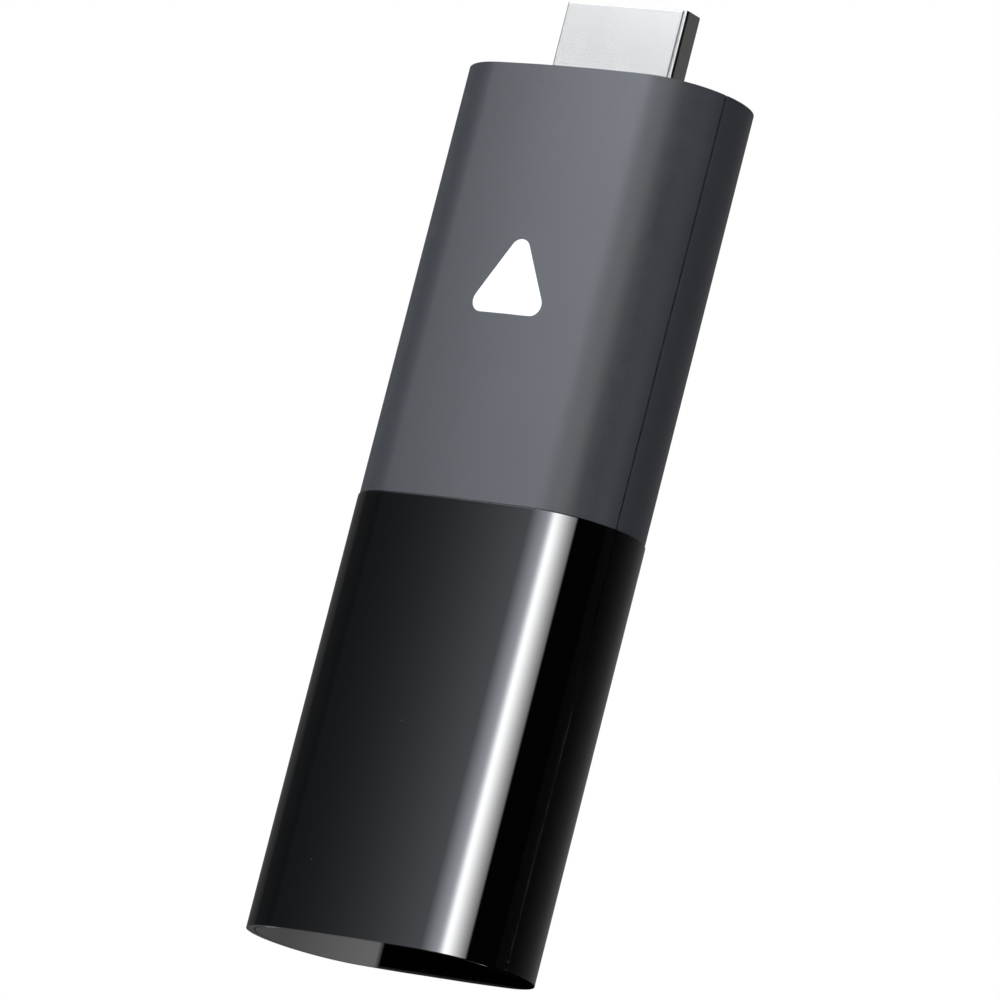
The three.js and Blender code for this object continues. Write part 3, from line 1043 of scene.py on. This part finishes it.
@dataclass
class VideoPlug:
    """The metal shell of the plug, its resin core and its nineteen spring contacts."""

    wardrobe: Wardrobe
    slant_top: float = 2.2
    slant_bottom: float = 3.2
    narrow_half_width: float = 5.4
    corner: float = 0.36
    left_corner: float = 0.2
    bend: float = 0.4
    sheet: float = 0.35
    mouth_taper: float = 0.05
    mouth_length: float = 0.08
    fold_rise: float = 0.05
    fold_width: float = 0.3
    fold_steps: int = 10
    least_corner: float = 0.15
    least_bend: float = 0.12
    shell_start: float = 1.4
    mouth_steps: int = 5
    lip_edge: float = 0.06
    lip_depth: float = 0.12
    slot_half_width: float = 4.85
    slot_half_height: float = 0.8
    slot_corner: float = 0.2
    slot_corner_steps: int = 4
    slot_chamfer: float = 0.2
    slot_chamfer_depth: float = 0.25
    core_gap: float = 0.05
    core_chamfer: float = 0.15
    spring_thickness: float = 0.15
    spring_bow: float = 0.19
    spring_length: float = 3.2
    spring_steps: int = 14
    spring_rounding: float = 0.03
    low: Vector = field(init=False)
    high: Vector = field(init=False)

    def __post_init__(self) -> None:
        """Takes the plug's place from its packed shell."""
        self.low, self.high = box_mm("plug_shell")

    @property
    def top(self) -> float:
        """Height of the wide face."""
        return self.high.z

    @property
    def bottom(self) -> float:
        """Height of the narrow face."""
        return self.low.z

    def outline(self, inset: float) -> list[Point]:
        """The plug's outline, clockwise from its left shoulder, rising to a folded edge at the right.

        Args:
            inset: How far inside the outer surface it lies.

        Returns:
            The points in order.
        """
        wide = self.high.x
        narrow = self.narrow_half_width
        upper = self.top - self.slant_top
        lower = self.top - self.slant_bottom
        corners = shrunk(
            [
                (-wide, self.top), (wide, self.top), (wide, upper), (narrow, lower),
                (narrow, self.bottom), (-narrow, self.bottom), (-narrow, lower), (-wide, upper),
            ],
            inset,
        )
        outer = max(self.corner - inset, self.least_corner)
        left = max(self.left_corner - inset, self.least_bend)
        bend = max(self.bend - inset, self.least_bend)
        inner = self.bend + inset
        points = rounded(corners, [left, outer, bend, inner, bend, bend, inner, bend])
        if inset < 0:
            return points
        turn = len(points) // len(corners)
        shoulder = points[turn][0]
        fold = []
        for step in range(self.fold_steps):
            share = step / self.fold_steps
            drop = self.fold_rise * (1 + math.cos(math.pi * share)) / 2
            fold.append((shoulder - self.fold_width * (1 - share), corners[1][1] - drop))
        return points[:turn] + fold + points[turn:]

    def shell(self) -> None:
        """Makes the folded metal shell."""
        work = Workpiece("plug_sleeve")
        tip = self.high.y
        rear = box_mm("plug_insulator")[0].y + self.shell_start
        stations = [(rear, 0.0), (tip - self.mouth_length, 0.0)]
        for step in range(1, self.mouth_steps + 1):
            angle = math.pi / 2 * step / self.mouth_steps
            along = tip - self.mouth_length + self.mouth_length * math.sin(angle)
            stations.append((along, self.mouth_taper * (1 - math.cos(angle))))
        stations += [
            (tip, self.sheet - self.lip_edge), (tip - self.lip_depth, self.sheet), (rear, self.sheet),
        ]
        rings = [work.ring_y(y, self.outline(inset)) for y, inset in stations]
        work.sleeve([*rings, rings[0]], closed=True)
        self.wardrobe.finish(work.solid(), Material.PLUG_STEEL, ["plug_shell"])

    def core(self) -> None:
        """Makes the resin core with the slot that the contacts lie in."""
        work = Workpiece("plug_core")
        low, high = box_mm("plug_insulator")
        middle = (low.z + high.z) / 2
        inset = self.sheet + self.core_gap

        def slot(grow: float) -> list[Point]:
            """The slot's outline, clockwise."""
            across = self.slot_half_width + grow
            up = self.slot_half_height + grow
            corners = rectangle(-across, across, middle - up, middle + up)
            return rounded(corners, [self.slot_corner] * 4, self.slot_corner_steps)

        outer = [
            work.ring_y(low.y, self.outline(inset)),
            work.ring_y(high.y - self.core_chamfer, self.outline(inset)),
            work.ring_y(high.y, self.outline(inset + self.core_chamfer)),
        ]
        hole = [
            work.ring_y(low.y, slot(0)),
            work.ring_y(high.y - self.slot_chamfer_depth, slot(0)),
            work.ring_y(high.y, slot(self.slot_chamfer)),
        ]
        work.sleeve(outer, closed=True)
        work.sleeve(hole, closed=True)
        work.face_with_hole(outer[0], hole[0])
        work.face_with_hole(outer[-1], hole[-1])
        self.wardrobe.finish(work.solid(), Material.BLACK_RESIN, ["plug_insulator"])

    def contact(self, node: str) -> None:
        """Makes one spring contact: a strip bowed towards the middle of the slot.

        Args:
            node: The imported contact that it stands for.
        """
        low, high = box_mm(node)
        middle = (self.top + self.bottom) / 2
        side = 1 if (low.z + high.z) / 2 > middle else -1
        wall = high.z if side > 0 else low.z
        work = Workpiece(node.replace("plug_contact", "plug_spring"))
        upper: list[Point] = [(low.y, wall)]
        for step in range(self.spring_steps + 1):
            share = step / self.spring_steps
            dip = self.spring_bow * math.sin(math.pi * share) ** 2
            upper.append((high.y - self.spring_length * (1 - share), wall - side * dip))
        lower = [(y, z - side * self.spring_thickness) for y, z in reversed(upper)]
        work.block([work.ring_x(x, upper + lower) for x in (low.x, high.x)])
        made = work.solid()
        round_edges(made, self.spring_rounding, lambda middle_point: self.spring_rounding, segments=2)
        self.wardrobe.finish(made, Material.CONTACT_GOLD, [node])


# ------------------------------------------------------------------ power inlet


@dataclass
class PowerInlet:
    """The micro power inlet in the left side."""

    wardrobe: Wardrobe
    corner_cut: float = 1.1
    sheet: float = 0.3
    flare: float = 0.14
    flare_length: float = 0.7
    flare_curl: float = 0.25
    curl_share: float = 0.6
    edge_share: float = 0.7
    inner_step: float = 0.05
    radius: float = 0.35
    least_radius: float = 0.12
    corner_steps: int = 5
    back_clearance: float = 0.1
    back_depth: float = 1.3
    tongue_half_width: float = 1.9
    tongue_thickness: float = 0.55
    tongue_clearance: float = 0.06
    tongue_corner: float = 0.12
    tongue_corner_steps: int = 3
    tip_inset: float = 0.08
    tip_corner: float = 0.1
    tip_length: float = 0.2
    tongue_overlap: float = 0.2
    strip_rounding: float = 0.03
    low: Vector = field(init=False)
    high: Vector = field(init=False)

    def __post_init__(self) -> None:
        """Takes the inlet's place from its packed shell."""
        self.low, self.high = box_mm("inlet_shell")

    def outline(self, inset: float) -> list[Point]:
        """The inlet's outline in Y and Z, clockwise: a wide top and cut lower corners.

        Args:
            inset: How far inside the outer surface it lies.

        Returns:
            The points in order.
        """
        near, far = self.low.y, self.high.y
        bottom, top = self.low.z, self.high.z
        cut_size = self.corner_cut
        corners = shrunk(
            [
                (near, top), (far, top), (far, bottom + cut_size), (far - cut_size, bottom),
                (near + cut_size, bottom), (near, bottom + cut_size),
            ],
            inset,
        )
        radius = max(self.radius - inset, self.least_radius)
        return rounded(corners, [radius] * len(corners), self.corner_steps)

    def shell(self) -> None:
        """Makes the metal shell with its flared mouth."""
        work = Workpiece("inlet_sleeve")
        mouth, back = self.low.x, self.high.x
        curl = self.flare * self.curl_share
        stations = [
            (back, 0.0),
            (mouth + self.flare_length, 0.0),
            (mouth + self.flare_curl, -curl),
            (mouth, -self.flare),
            (mouth, self.sheet * self.edge_share - self.flare),
            (mouth + self.flare_curl + self.inner_step, self.sheet - curl),
            (mouth + self.flare_length + self.inner_step, self.sheet),
            (back, self.sheet),
        ]
        rings = [work.ring_x(x, self.outline(inset)) for x, inset in stations]
        work.sleeve([*rings, rings[0]], closed=True)
        self.wardrobe.finish(work.solid(), Material.PLUG_STEEL, ["inlet_shell"])

    def tongue(self) -> None:
        """Makes the resin tongue and the wall behind it."""
        work = Workpiece("inlet_tongue_moulding")
        low, high = box_mm("inlet_tongue")
        strip_high = box_mm("inlet_contact_1")[1]
        middle = (self.low.y + self.high.y) / 2
        half = self.tongue_half_width
        under = strip_high.z + self.tongue_clearance
        over = under + self.tongue_thickness
        wall_x = high.x - self.back_depth
        wall_outline = self.outline(self.sheet + self.back_clearance)
        back = [work.ring_x(x, wall_outline) for x in (wall_x, high.x)]
        corners = rectangle(middle - half, middle + half, under, over)
        steps = self.tongue_corner_steps
        blade = rounded(corners, [self.tongue_corner] * 4, steps)
        slim = rounded(shrunk(corners, self.tip_inset), [self.tip_corner] * 4, steps)
        front = [
            work.ring_x(low.x, slim),
            work.ring_x(low.x + self.tip_length, blade),
            work.ring_x(wall_x + self.tongue_overlap, blade),
        ]
        work.block(back)
        work.block(front)
        self.wardrobe.finish(work.solid(), Material.BLACK_RESIN, ["inlet_tongue"])

    def contact(self, node: str) -> None:
        """Makes one flat contact under the tongue.

        Args:
            node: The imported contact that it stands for.
        """
        low, high = box_mm(node)
        work = Workpiece(node.replace("contact", "strip"))
        outline = rectangle(low.y, high.y, low.z, high.z)
        work.block([work.ring_x(x, outline) for x in (low.x, high.x)])
        made = work.solid()
        round_edges(made, self.strip_rounding, lambda middle: self.strip_rounding, segments=2)
        self.wardrobe.finish(made, Material.CONTACT_GOLD, [node])


# ------------------------------------------------------------------ parts inside


@dataclass
class Electronics:
    """The board and what it carries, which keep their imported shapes."""

    wardrobe: Wardrobe
    finishes: dict[str, Material] = field(default_factory=lambda: {
        "main_board": Material.BOARD_LAMINATE,
        "processor": Material.CHIP_EPOXY,
        "memory_chip": Material.CHIP_EPOXY,
        "flash_chip": Material.CHIP_EPOXY,
        "power_chip": Material.CHIP_EPOXY,
        "wireless_chip": Material.CHIP_EPOXY,
        "crystal": Material.SHIELD_STEEL,
        "front_shield": Material.SHIELD_STEEL,
        "rear_shield": Material.SHIELD_STEEL,
        "aerial_left": Material.SHIELD_STEEL,
        "aerial_right": Material.SHIELD_STEEL,
        "inductor_1": Material.DARK_FERRITE,
        "inductor_2": Material.DARK_FERRITE,
        "capacitor_1": Material.PALE_CERAMIC,
        "capacitor_2": Material.PALE_CERAMIC,
        "capacitor_3": Material.PALE_CERAMIC,
        "processor_pad": Material.THERMAL_PAD,
        "front_pad": Material.THERMAL_PAD,
        "rear_pad": Material.THERMAL_PAD,
        "front_spreader": Material.SPREADER_ALUMINIUM,
        "rear_spreader": Material.SPREADER_ALUMINIUM,
    })

    def dress(self) -> None:
        """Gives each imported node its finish."""
        for node, finish in self.finishes.items():
            self.wardrobe.dress(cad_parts[node], finish)
            log.info("dressed %s", node)


# ------------------------------------------------------------------ studio


@dataclass(frozen=True)
class SoftBox:
    """A soft light along the stick, as a patch of sky.

    Roll is the direction round the stick's length: 0 to the right, 90 overhead, 180 to the left.
    Lean is the direction's share towards the plug.
    """

    radiance: float
    roll: float
    spread_right: float
    spread_left: float
    lean: float = 0.0
    lean_reach: float = 2.0
    cut_roll: float = -400.0
    cut_softness: float = 1.0
    tint: Colour = (1.0, 1.0, 1.0)


COOL: Colour = (0.94, 1.0, 1.09)


@dataclass
class Studio:
    """The floor, the light and the camera."""

    boxes: tuple[SoftBox, ...] = (
        # The bright streak along the gloss covers, and its slow fall to the left.
        SoftBox(9.65, 76.0, 22.7, 7.29, 0.153, 0.031, cut_roll=44.0, cut_softness=3.0),
        SoftBox(3.63, 80.0, 12.0, 28.64, 0.153, 0.031, cut_roll=44.0, cut_softness=3.0, tint=COOL),
        # A faint fill from the left.
        SoftBox(0.06, 165.0, 30.0, 60.0, 0.0, 1.0, tint=COOL),
        # The folded edge of the plug, and its wide face.
        SoftBox(1.6, 76.0, 14.0, 8.0, 0.245, 0.04, cut_roll=44.0, cut_softness=3.0),
        SoftBox(0.95, 127.0, 16.0, 17.0, 0.24, 0.035),
        # The matte covers: their face, their right side and their left side.
        SoftBox(22.0, 115.3, 20.2, 20.6, 0.375, 0.075, tint=COOL),
        SoftBox(15.0, 0.8, 150.0, 20.0, -0.3, 0.22, tint=COOL),
        SoftBox(8.0, 165.0, 20.0, 45.0, -0.3, 0.22, tint=COOL),
        # The gloss covers as they are seen from the tail, from the plug and from the side.
        SoftBox(0.8, 115.0, 55.0, 50.0, 0.66, 0.16),
        SoftBox(3.5, 76.0, 11.0, 14.0, 0.66, 0.14),
        SoftBox(0.55, 60.0, 70.0, 70.0, -0.75, 0.2),
        SoftBox(3.0, 103.0, 14.0, 11.0, -0.72, 0.13),
        SoftBox(1.3, 78.0, 22.0, 30.0, 0.02, 0.095),
    )
    edge_share: float = 0.15
    background: float = 1.0
    # The floor's glow onto the player, painted in place of the light it would throw back: its strength
    # on the left and on the right.
    left_glow: tuple[float, float] = (0.125, 0.235)
    left_glow_span: tuple[float, float] = (-18.0, -8.0)
    horizon_span: tuple[float, float] = (-250.0, -60.0)
    horizon_share: float = 0.75
    right_glow: float = 0.17
    far_glow: float = 0.02
    glow_start: float = 15.0
    glow_reach: float = 5.5
    # Past the nose the floor's glow on the right falls to this share: painted shade.
    nose_span: tuple[float, float] = (38.0, 41.0)
    nose_share: float = 0.6
    # A dark patch behind the tail, cut out of the floor's glow: painted shade, seen as a dark reflection
    # in the end plate.
    dark_patch_right_of: float = -6.9
    dark_patch_front: float = -45.9
    dark_patch_back: float = -50.3
    dark_patch_softness: float = 0.6
    floor_size: float = 6.0
    floor_squares: int = 8
    floor_drop: float = 0.00002
    azimuth: float = 73.07
    elevation: float = 51.77
    roll: float = -62.18
    distance: float = 0.85851
    aim: tuple[float, float, float] = (-0.000743, -0.00218, 0.007552)
    lens: float = 333.07
    sensor_width: float = 36.0

    def box_group(self) -> bpy.types.NodeTree:
        """Draws the node group that gives one soft box's radiance by direction."""
        names = [
            "Roll", "Lean", "Radiance", "Middle", "Spread right", "Spread left",
            "Lean middle", "Lean reach", "Cut", "Cut softness",
        ]
        sheet, given, result = start_group("soft_box", dict.fromkeys(names, 1.0), ["Light"])
        value = given.outputs
        off = sheet.math("SUBTRACT", value["Roll"], value["Middle"])
        leftwards = sheet.math("GREATER_THAN", off, 0.0)
        widen = sheet.math("SUBTRACT", value["Spread left"], value["Spread right"])
        spread = sheet.math("MULTIPLY_ADD", leftwards, widen, value["Spread right"])
        across = sheet.math("DIVIDE", off, spread)
        squares = sheet.math("MULTIPLY", across, across)
        glow = sheet.math("EXPONENT", sheet.math("MULTIPLY", squares, -1.0))
        past = sheet.math("SUBTRACT", value["Roll"], value["Cut"])
        gate = sheet.math("DIVIDE", past, value["Cut softness"])
        clamped = sheet.add("ShaderNodeClamp", {0: gate}).outputs[0]
        lean_off = sheet.math("ABSOLUTE", sheet.math("SUBTRACT", value["Lean"], value["Lean middle"]))
        lean_left = sheet.math("SUBTRACT", value["Lean reach"], lean_off)
        within = sheet.math("DIVIDE", lean_left, value["Lean reach"])
        window = sheet.math("MULTIPLY_ADD", within, 1 / self.edge_share, 0.5)
        windowed = sheet.add("ShaderNodeClamp", {0: window}).outputs[0]
        gated = sheet.math("MULTIPLY", glow, sheet.math("MULTIPLY", clamped, windowed))
        sheet.feed(result.inputs[0], sheet.math("MULTIPLY", gated, value["Radiance"]))
        return sheet.tree

    def light(self) -> None:
        """Builds the world: soft boxes for the player, plain pale for the camera."""
        world = bpy.data.worlds.new("studio")
        world.use_nodes = True
        bpy.context.scene.world = world
        sheet = Sheet(world.node_tree)
        sheet.tree.nodes.clear()
        direction = sheet.add("ShaderNodeTexCoord").outputs["Generated"]
        parts = sheet.add("ShaderNodeSeparateXYZ", {0: direction}).outputs
        turn = sheet.math("ARCTAN2", parts[2], parts[0])
        roll = sheet.math("MULTIPLY", turn, 180 / math.pi)
        group = self.box_group()
        total: object = (0.0, 0.0, 0.0)
        for box in self.boxes:
            node = sheet.add("ShaderNodeGroup", node_tree=group)
            values = (
                roll, parts[1], box.radiance, box.roll, box.spread_right, box.spread_left,
                box.lean, box.lean_reach, box.cut_roll, box.cut_softness,
            )
            for index, value in enumerate(values):
                sheet.feed(node.inputs[index], value)
            tinted = sheet.add(
                "ShaderNodeVectorMath", {0: box.tint, "Scale": node.outputs[0]}, operation="SCALE"
            )
            total = sheet.add("ShaderNodeVectorMath", {0: total, 1: tinted.outputs[0]}).outputs[0]
        seen = sheet.add("ShaderNodeLightPath").outputs["Is Camera Ray"]
        lit = sheet.add("ShaderNodeBackground", {"Color": total, "Strength": 1.0})
        pale = sheet.add("ShaderNodeBackground", {"Color": (1.0, 1.0, 1.0), "Strength": self.background})
        mixed = sheet.add("ShaderNodeMixShader", {0: seen, 1: lit.outputs[0], 2: pale.outputs[0]})
        sheet.add("ShaderNodeOutputWorld", {"Surface": mixed.outputs[0]})
        log.info("lit the studio with %d soft boxes", len(self.boxes))

    def floor_glow(self, sheet: Sheet) -> bpy.types.NodeSocket:
        """Light that the floor gives off onto the player: a painted glow in place of the light it would
        throw back.

        It fades away on the right and is dimmer there past the nose, a painted shade. On the left it
        grows towards the stick and fades towards the horizon. Behind the tail it is cut out in a dark
        patch, painted shade that shows as a dark reflection in the end plate.

        Args:
            sheet: The floor's material.

        Returns:
            The strength.
        """
        place = sheet.add("ShaderNodeTexCoord").outputs["Object"]
        parts = sheet.add("ShaderNodeSeparateXYZ", {0: place}).outputs
        across = sheet.math("DIVIDE", parts[0], MM)
        along = sheet.math("DIVIDE", parts[1], MM)
        beyond = sheet.math("MAXIMUM", sheet.math("SUBTRACT", across, self.glow_start), 0.0)
        fade = sheet.math("EXPONENT", sheet.math("DIVIDE", beyond, -self.glow_reach))
        right = sheet.math("MULTIPLY_ADD", fade, self.right_glow, self.far_glow)
        # Painted shade: the glow on the right is dimmer past the nose.
        shade = sheet.spread(along, *self.nose_span, 1.0, self.nose_share)
        near = sheet.spread(across, *self.left_glow_span, *self.left_glow)
        horizon = sheet.spread(across, *self.horizon_span, self.horizon_share, 1.0)
        left = sheet.math("MULTIPLY", near, horizon)
        side = sheet.math("GREATER_THAN", across, 0.0)
        on_right = sheet.math("MULTIPLY", side, sheet.math("MULTIPLY", right, shade))
        on_left = sheet.math("MULTIPLY", left, sheet.math("SUBTRACT", 1.0, side))
        bare = sheet.math("ADD", on_right, on_left)
        # Painted shade: the glow is cut out in a patch behind the tail, seen as a dark reflection in the
        # end plate.
        soft = self.dark_patch_softness
        edge = self.dark_patch_right_of
        beside = sheet.spread(across, edge - soft / 2, edge + soft / 2, 0.0, 1.0)
        before = sheet.spread(along, self.dark_patch_front - soft, self.dark_patch_front + soft, 1.0, 0.0)
        behind = sheet.spread(along, self.dark_patch_back - soft, self.dark_patch_back + soft, 0.0, 1.0)
        painted_dark_patch = sheet.math("MULTIPLY", beside, sheet.math("MULTIPLY", before, behind))
        return sheet.math("MULTIPLY", bare, sheet.math("SUBTRACT", 1.0, painted_dark_patch))

    def floor(self) -> None:
        """Lays the pale floor."""
        work = bmesh.new()
        squares = self.floor_squares
        bmesh.ops.create_grid(work, x_segments=squares, y_segments=squares, size=self.floor_size / 2)
        data = bpy.data.meshes.new("studio_floor")
        work.to_mesh(data)
        work.free()
        floor = bpy.data.objects.new("studio_floor", data)
        bpy.context.scene.collection.objects.link(floor)
        floor.location.z = -self.floor_drop
        material = bpy.data.materials.new("floor_paper")
        material.use_nodes = True
        sheet = Sheet(material.node_tree)
        sheet.tree.nodes.clear()
        seen = sheet.add("ShaderNodeLightPath").outputs["Is Camera Ray"]
        white = sheet.add("ShaderNodeEmission", {"Strength": self.background})
        # To every ray except the camera's the floor gives off its painted glow, painted bounce light and
        # shade.
        dim = sheet.add("ShaderNodeEmission", {"Strength": self.floor_glow(sheet)})
        mixed = sheet.add("ShaderNodeMixShader", {0: seen, 1: dim.outputs[0], 2: white.outputs[0]})
        sheet.add("ShaderNodeOutputMaterial", {"Surface": mixed.outputs[0]})
        data.materials.append(material)
        log.info("laid the floor")

    def camera(self) -> None:
        """Sets up the camera."""
        data = bpy.data.cameras.new("studio_camera")
        data.lens = self.lens
        data.sensor_width = self.sensor_width
        camera = bpy.data.objects.new("studio_camera", data)
        bpy.context.scene.collection.objects.link(camera)
        azimuth, elevation = math.radians(self.azimuth), math.radians(self.elevation)
        back = Vector((
            math.sin(azimuth) * math.cos(elevation),
            -math.cos(azimuth) * math.cos(elevation),
            math.sin(elevation),
        ))
        camera.location = Vector(self.aim) + back * self.distance
        camera.rotation_mode = "QUATERNION"
        level = (-back).to_track_quat("-Z", "Y")
        camera.rotation_quaternion = level @ Quaternion((0, 0, 1), math.radians(self.roll))
        bpy.context.scene.camera = camera
        bpy.context.scene.view_settings.view_transform = "Standard"
        bpy.context.scene.view_settings.look = "None"
        log.info("placed the camera")


def main() -> None:
    """Builds the studio and every piece of the player."""
    logging.basicConfig(level=logging.INFO, format="%(message)s")
    studio = Studio()
    studio.camera()
    studio.light()
    studio.floor()
    wardrobe = Wardrobe(Effects())
    plug = VideoPlug(wardrobe)
    inlet = PowerInlet(wardrobe)
    covers = Covers(wardrobe)
    for half in Half:
        covers.matte(half, plug.outline(-covers.plug_clearance))
        covers.gloss(half, inlet.outline(-covers.inlet_clearance))
    covers.end_plate()
    covers.mark()
    plug.shell()
    plug.core()
    for node in sorted(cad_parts):
        if node.startswith("plug_contact"):
            plug.contact(node)
        elif node.startswith("inlet_contact"):
            inlet.contact(node)
    inlet.shell()
    inlet.tongue()
    Electronics(wardrobe).dress()


if __name__ == "__main__":
    main()
